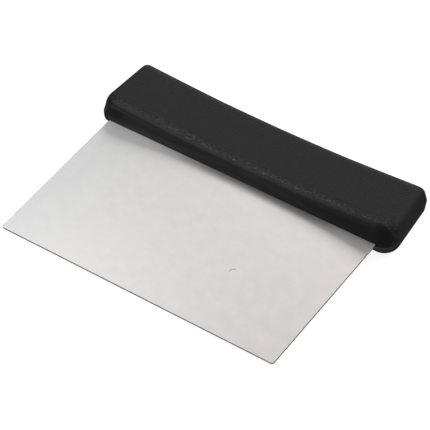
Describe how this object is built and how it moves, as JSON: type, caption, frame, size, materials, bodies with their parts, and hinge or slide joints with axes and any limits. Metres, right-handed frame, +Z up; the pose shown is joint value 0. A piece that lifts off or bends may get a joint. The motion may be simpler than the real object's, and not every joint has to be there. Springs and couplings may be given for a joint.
{
  "type": "bench scraper",
  "caption": "Bench scraper: a flat rectangular stainless blade held along one long edge by a wide dished black plastic handle.",
  "frame": {"origin": "centre of the bounding box in plan, at the surface the scraper lies on", "axes": "+X along the handle, +Y from the scraping edge to the handle, +Z up, with the scraper as it lies: leant about 5.5 degrees on its edge and the handle's underside"},
  "size_m": [0.1672, 0.12, 0.0209],
  "materials": {
    "stainless": "satin ground sheet with slightly eased edges",
    "handle": "fine pebble texture on the top, back and ends, smooth along the front"
  },
  "bodies": {
    "root": {"blade": "stainless", "handle_upper_shell": "handle", "handle_lower_shell": "handle"}
  },
  "joints": []
}
